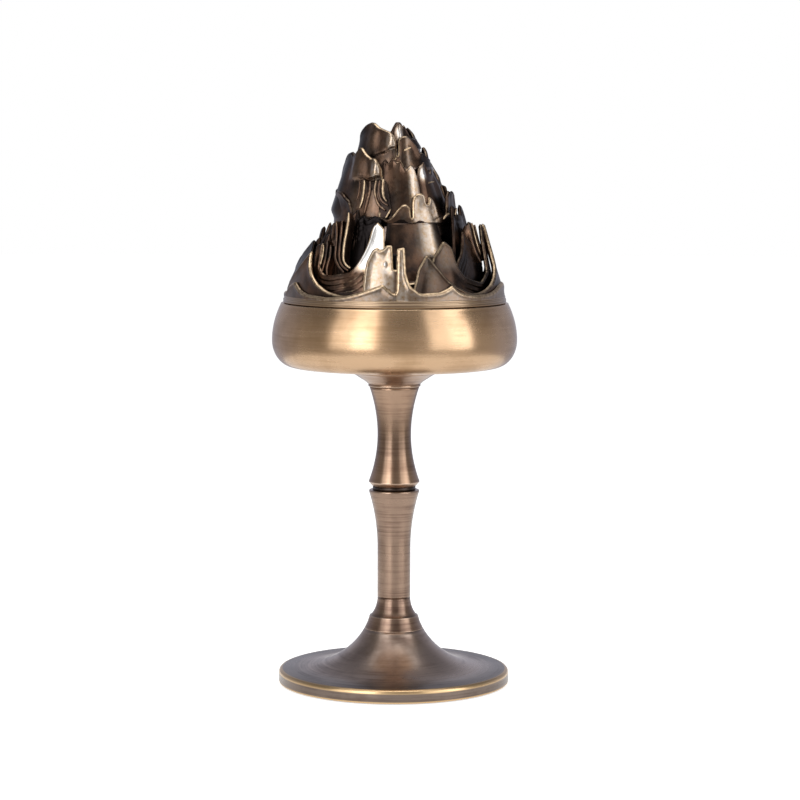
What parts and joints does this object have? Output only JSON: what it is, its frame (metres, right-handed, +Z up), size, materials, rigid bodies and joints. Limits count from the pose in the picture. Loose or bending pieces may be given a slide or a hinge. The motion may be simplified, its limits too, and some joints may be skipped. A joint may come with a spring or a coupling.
{
  "type": "incense burner",
  "caption": "Hill censer: a round bowl on a tall jointed stem and disc foot, under a lift-off lid cast as tiers of overlapping mountain peaks with smoke holes between them.",
  "frame": {"origin": "centre of the plane that the foot stands on", "axes": "+Z up along the stem's axis, -Y towards the viewer of the picture, +X to the right"},
  "size_m": [0.074, 0.074, 0.17],
  "materials": {
    "bronze": "brushed antique copper, golden brown",
    "pale_bronze": "brushed antique copper, worn golden",
    "dark_bronze": "dark patina with worn golden edges",
    "steel": "plain zinc plated",
    "pad_rubber": "black foam",
    "mineral_felt": "off-white mineral fibre"
  },
  "bodies": {
    "stand": {"foot": "bronze", "foot_pad": "pad_rubber", "foot_washer": "steel", "foot_nut": "steel", "tie_rod": "steel", "stem_socket": "pale_bronze", "lower_stem": "bronze", "joint_ring": "dark_bronze", "upper_stem": "bronze", "bowl_collar": "bronze", "bowl": "pale_bronze", "bowl_washer": "steel", "bowl_nut": "steel"},
    "heat_pad": {"heat_pad": "mineral_felt"},
    "coil_stand": {"incense_plate": "pale_bronze", "coil_pin": "pale_bronze"},
    "lid": {"foothill_ring": "pale_bronze", "lower_peaks": "dark_bronze", "middle_peaks": "dark_bronze", "upper_peaks": "dark_bronze", "summit": "dark_bronze"}
  },
  "joints": [
    {"name": "lid_lift", "type": "slide", "parent": "stand", "child": "lid", "axis": [0, 0, 1], "range_m": [0, 0.07]},
    {"name": "heat_pad_lift", "type": "slide", "parent": "stand", "child": "heat_pad", "axis": [0, 0, 1], "range_m": [0, 0.008]},
    {"name": "coil_stand_lift", "type": "slide", "parent": "heat_pad", "child": "coil_stand", "axis": [0, 0, 1], "range_m": [0, 0.025]}
  ]
}
